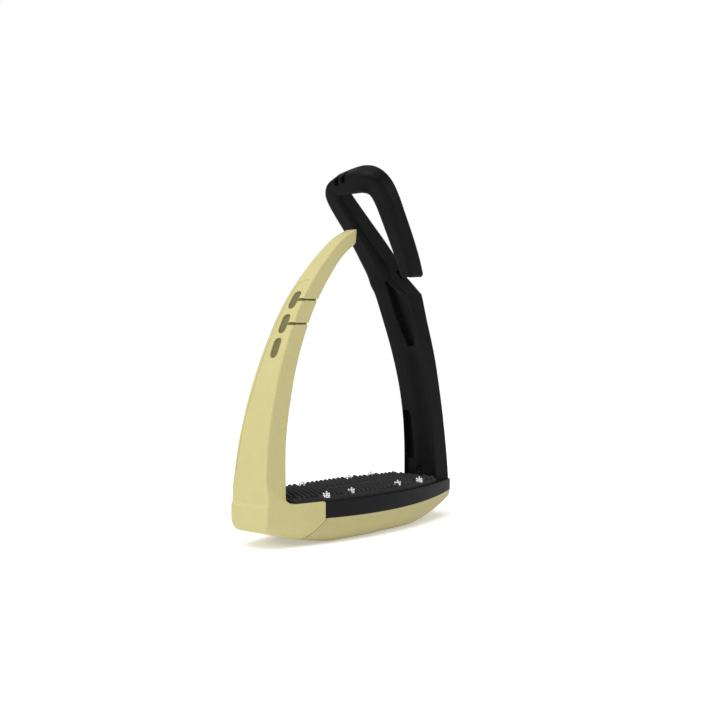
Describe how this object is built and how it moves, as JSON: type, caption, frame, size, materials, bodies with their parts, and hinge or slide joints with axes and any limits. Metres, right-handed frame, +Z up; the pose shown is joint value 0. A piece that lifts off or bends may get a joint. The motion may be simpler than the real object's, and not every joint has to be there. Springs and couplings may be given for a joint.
{
  "type": "stirrup iron",
  "caption": "Safety stirrup iron with a rigid inner branch, an open hook eye, a studded tread and an outer branch that flexes open to free the foot",
  "frame": {"origin": "the middle of the flat sole under the tread, on the surface that the stirrup stands on", "axes": "+Z up from the sole to the hook eye, +X towards the rigid inner branch, +Y to the rear of the tread"},
  "size_m": [0.15, 0.052, 0.1984],
  "materials": {
    "black_nylon": "matt glass-filled nylon, fine moulded texture",
    "pad_rubber": "moulded grip teeth, matt",
    "branch_elastomer": "pale yellow elastomer, fine satin texture",
    "cover_elastomer": "pale yellow moulded cover, fine satin texture",
    "stud_steel": "bright machined steel",
    "zinc_steel": "zinc plated",
    "core_steel": "rolled steel strip",
    "blade_steel": "blued spring steel",
    "insert_brass": "knurled brass inserts"
  },
  "bodies": {
    "stirrup_body": {"tread_frame": "black_nylon", "tread_pad": "pad_rubber", "pad_screws": "zinc_steel", "pad_inserts": "insert_brass", "studs_front": "stud_steel", "studs_rear": "stud_steel", "stud_inserts": "insert_brass", "bottom_cover": "cover_elastomer", "cover_screws": "zinc_steel", "cover_inserts": "insert_brass", "inner_branch": "black_nylon", "inner_branch_core": "core_steel", "inner_branch_screws": "zinc_steel", "inner_branch_inserts": "insert_brass", "outer_branch_root": "branch_elastomer", "spring_blade_root": "blade_steel", "blade_clamp_plate": "core_steel", "blade_screws": "zinc_steel", "blade_inserts": "insert_brass"},
    "flex_middle": {"outer_branch_middle": "branch_elastomer", "spring_blade_middle": "blade_steel"},
    "flex_tip": {"outer_branch_tip": "branch_elastomer", "spring_blade_tip": "blade_steel"}
  },
  "joints": [
    {"name": "lower_flex", "type": "hinge", "parent": "stirrup_body", "child": "flex_middle", "pos_m": [-0.0476, 0, 0.112], "axis": [0, -1, 0], "range_deg": [0, 18], "stiffness_Nm_per_rad": 4},
    {"name": "upper_flex", "type": "hinge", "parent": "flex_middle", "child": "flex_tip", "pos_m": [-0.04, 0, 0.1244], "axis": [0, -1, 0], "range_deg": [0, 18], "stiffness_Nm_per_rad": 4}
  ],
  "couplings": [
    {"joint": "upper_flex", "follows": "lower_flex", "ratio": 1}
  ]
}
